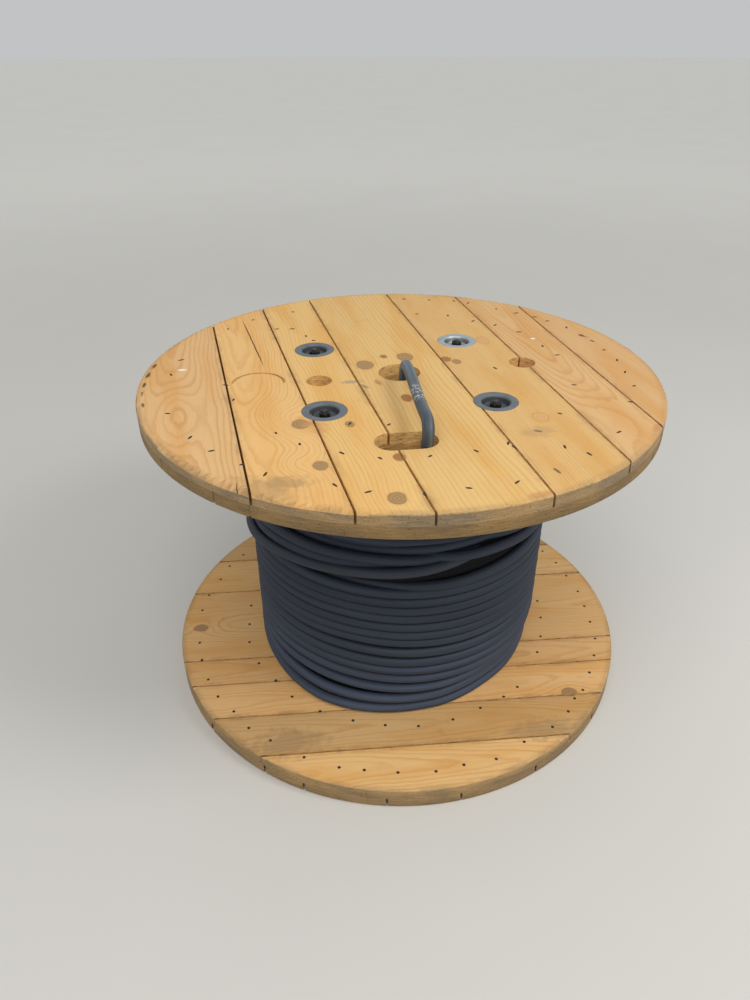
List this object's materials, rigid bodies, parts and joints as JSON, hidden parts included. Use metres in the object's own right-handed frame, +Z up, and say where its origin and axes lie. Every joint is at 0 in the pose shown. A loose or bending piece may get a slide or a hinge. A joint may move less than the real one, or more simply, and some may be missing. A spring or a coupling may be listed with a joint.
{
  "type": "wooden cable drum",
  "caption": "Wooden cable drum: two round flanges of crossed boards bolted over a barrel, wound with grey cable whose inner end loops over the top flange.",
  "frame": {"origin": "on the drum's axis, in the plane of the lower flange's underside", "axes": "+Z up along the axis of the drum, -Y towards the side that the picture shows"},
  "size_m": [1, 1, 0.7074],
  "materials": {
    "pine_upper": "planed pine, honey yellow, with grain, knots, nail marks and a worn rim",
    "pine_inner": "sawn pine, seen at the rim",
    "pine_lower": "sawn pine, duller than the upper face, with two rings of nail heads",
    "barrel_wood": "rough sawn pine staves and discs",
    "zinc_bright": "bright zinc-plated pressed steel",
    "steel_blued": "dull blue-grey plated pressed steel",
    "steel_bolt": "plain steel, slightly dulled",
    "cable_sheath": "matt slate-grey sheath",
    "cable_tail_sheath": "matt slate-grey sheath, scuffed paler"
  },
  "bodies": {
    "root": {"barrel_disc_lower": "barrel_wood", "barrel_disc_upper": "barrel_wood", "barrel_staves": "barrel_wood", "cable_loose_turn_lower": "cable_sheath", "cable_loose_turn_upper": "cable_sheath", "cable_tail": "cable_tail_sheath", "cable_winding": "cable_sheath", "cup_washer_lower_1": "steel_blued", "cup_washer_lower_2": "steel_blued", "cup_washer_lower_3": "steel_blued", "cup_washer_lower_4": "steel_blued", "cup_washer_upper_1": "zinc_bright", "cup_washer_upper_2": "steel_blued", "cup_washer_upper_3": "steel_blued", "cup_washer_upper_4": "steel_blued", "hex_nut_1": "steel_bolt", "hex_nut_2": "steel_bolt", "hex_nut_3": "steel_bolt", "hex_nut_4": "steel_bolt", "lower_inner_board_1": "pine_lower", "lower_inner_board_2": "pine_lower", "lower_inner_board_3": "pine_lower", "lower_inner_board_4": "pine_lower", "lower_inner_board_5": "pine_lower", "lower_inner_board_6": "pine_lower", "lower_inner_board_7": "pine_lower", "lower_inner_board_8": "pine_lower", "lower_outer_board_1": "pine_inner", "lower_outer_board_2": "pine_inner", "lower_outer_board_3": "pine_inner", "lower_outer_board_4": "pine_inner", "lower_outer_board_5": "pine_inner", "lower_outer_board_6": "pine_inner", "lower_outer_board_7": "pine_inner", "lower_outer_board_8": "pine_inner", "tie_bolt_1": "steel_bolt", "tie_bolt_2": "steel_bolt", "tie_bolt_3": "steel_bolt", "tie_bolt_4": "steel_bolt", "upper_inner_board_1": "pine_inner", "upper_inner_board_2": "pine_inner", "upper_inner_board_3": "pine_inner", "upper_inner_board_4": "pine_inner", "upper_inner_board_5": "pine_inner", "upper_inner_board_6": "pine_inner", "upper_inner_board_7": "pine_inner", "upper_inner_board_8": "pine_inner", "upper_inner_board_9": "pine_inner", "upper_outer_board_1": "pine_upper", "upper_outer_board_2": "pine_upper", "upper_outer_board_3": "pine_upper", "upper_outer_board_4": "pine_upper", "upper_outer_board_5": "pine_upper", "upper_outer_board_6": "pine_upper", "upper_outer_board_7": "pine_upper"}
  },
  "joints": []
}
